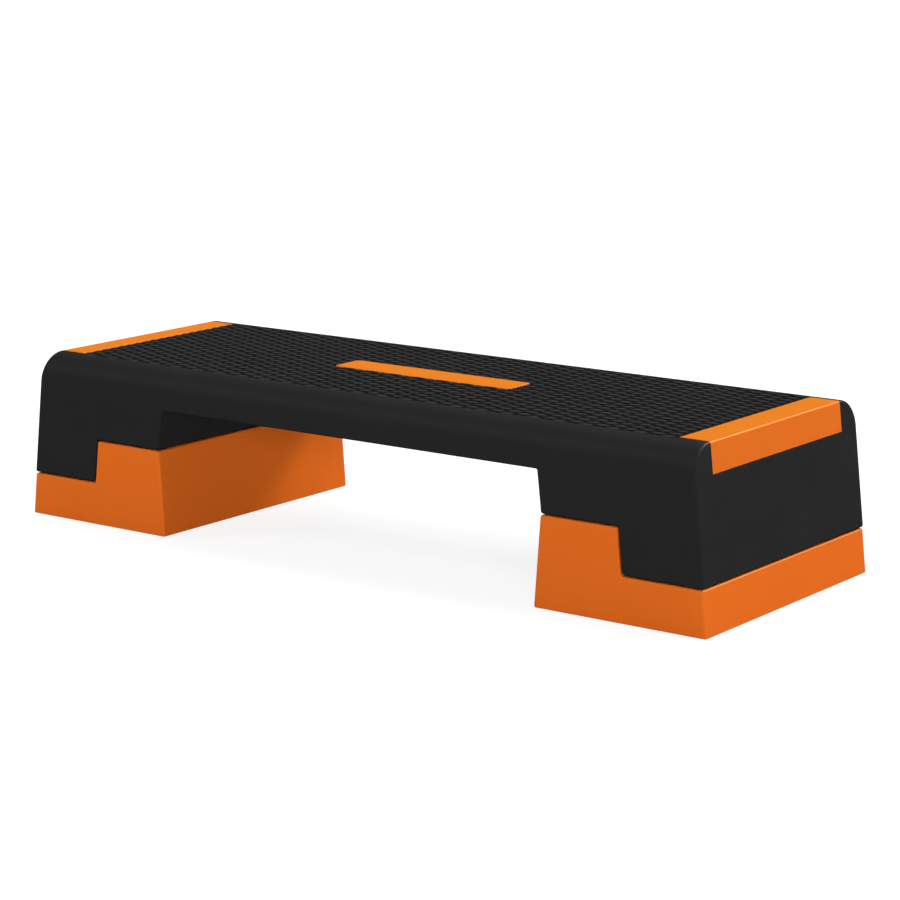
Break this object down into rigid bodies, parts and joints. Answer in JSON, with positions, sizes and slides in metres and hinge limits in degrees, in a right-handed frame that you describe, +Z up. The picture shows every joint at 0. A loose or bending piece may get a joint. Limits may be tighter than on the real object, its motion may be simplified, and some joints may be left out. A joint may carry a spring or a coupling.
{
  "type": "aerobic step platform",
  "caption": "Low fitness step: a long, ribbed deck with a gripping tread, nested on loose stepped risers that lift off or turn round to change its height.",
  "frame": {"origin": "middle of the footprint, on the floor", "axes": "+Z up, X along the length, Y across the width"},
  "size_m": [0.9598, 0.3446, 0.2],
  "materials": {
    "black_plastic": "satin moulded polypropylene with a fine grain",
    "tread_rubber": "matte moulded grip pattern",
    "orange_trim": "satin",
    "orange_plastic": "satin moulded polypropylene",
    "foot_rubber": "matte"
  },
  "bodies": {
    "deck": {"deck_shell": "black_plastic", "tread_mat": "tread_rubber", "centre_inlay": "orange_trim", "left_end_strip": "orange_trim", "right_end_strip": "orange_trim", "deck_foot_front_left": "foot_rubber", "deck_foot_front_right": "foot_rubber", "deck_foot_back_left": "foot_rubber", "deck_foot_back_right": "foot_rubber"},
    "left_riser": {"left_riser": "orange_plastic", "left_riser_foot_front_outer": "foot_rubber", "left_riser_foot_front_inner": "foot_rubber", "left_riser_foot_back_outer": "foot_rubber", "left_riser_foot_back_inner": "foot_rubber"},
    "right_riser": {"right_riser": "orange_plastic", "right_riser_foot_front_outer": "foot_rubber", "right_riser_foot_front_inner": "foot_rubber", "right_riser_foot_back_outer": "foot_rubber", "right_riser_foot_back_inner": "foot_rubber"}
  },
  "joints": [
    {"name": "left_riser_lift_off", "type": "slide", "parent": "deck", "child": "left_riser", "axis": [0, 0, -1], "range_m": [0, 0.06]},
    {"name": "right_riser_lift_off", "type": "slide", "parent": "deck", "child": "right_riser", "axis": [0, 0, -1], "range_m": [0, 0.06]}
  ]
}
